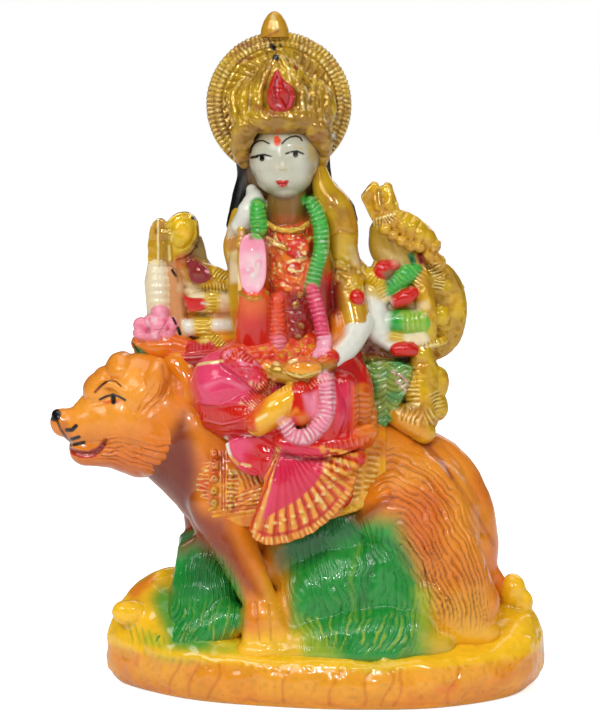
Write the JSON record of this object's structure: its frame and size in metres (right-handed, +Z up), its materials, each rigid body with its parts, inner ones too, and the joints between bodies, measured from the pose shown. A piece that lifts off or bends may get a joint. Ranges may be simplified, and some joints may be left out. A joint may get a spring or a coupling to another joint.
{
  "type": "seated goddess on lion figurine",
  "caption": "Small cast figurine of an eight-armed goddess with a halo, seated across a lion on an oval rocky base.",
  "frame": {"origin": "on the ground, in the middle of the figure's outline seen from above", "axes": "+Z up; the lion faces -X; the goddess faces -Y"},
  "size_m": [0.1094, 0.049, 0.1502],
  "materials": {
    "painted_resin": "glossy white casting resin, hand painted in orange, yellow, green, pink, red and gold"
  },
  "bodies": {
    "root": {"durga_figure": "painted_resin"}
  },
  "joints": []
}
